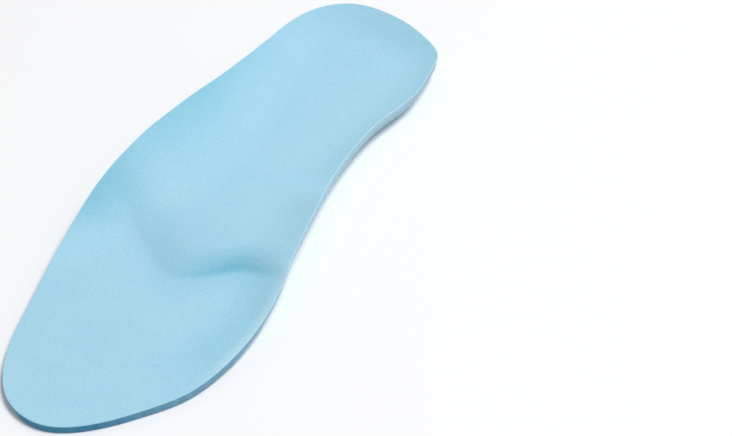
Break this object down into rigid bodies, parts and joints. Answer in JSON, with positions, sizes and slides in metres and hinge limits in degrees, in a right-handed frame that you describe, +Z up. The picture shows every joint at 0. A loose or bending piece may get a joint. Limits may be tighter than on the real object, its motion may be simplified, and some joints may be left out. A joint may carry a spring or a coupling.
{
  "type": "geriatric insole",
  "caption": "Contoured foam shoe insole for a left foot: full-length soft cover on a three-quarter-length base with heel cup, raised inner arch and forefoot pad.",
  "frame": {"origin": "centre of the bounding box in plan, on the ground plane that the flat underside lies on", "axes": "+Y to the toes, +X to the inner (big-toe) side, +Z up from the underside to the footbed"},
  "size_m": [0.0906, 0.26, 0.0232],
  "materials": {
    "cover_foam": "matt pale blue fine-celled foam, smooth skin",
    "base_foam": "matt pale blue foam, ground to a fine pebbled grain"
  },
  "bodies": {
    "root": {"top_cover": "cover_foam", "support_base": "base_foam"}
  },
  "joints": []
}
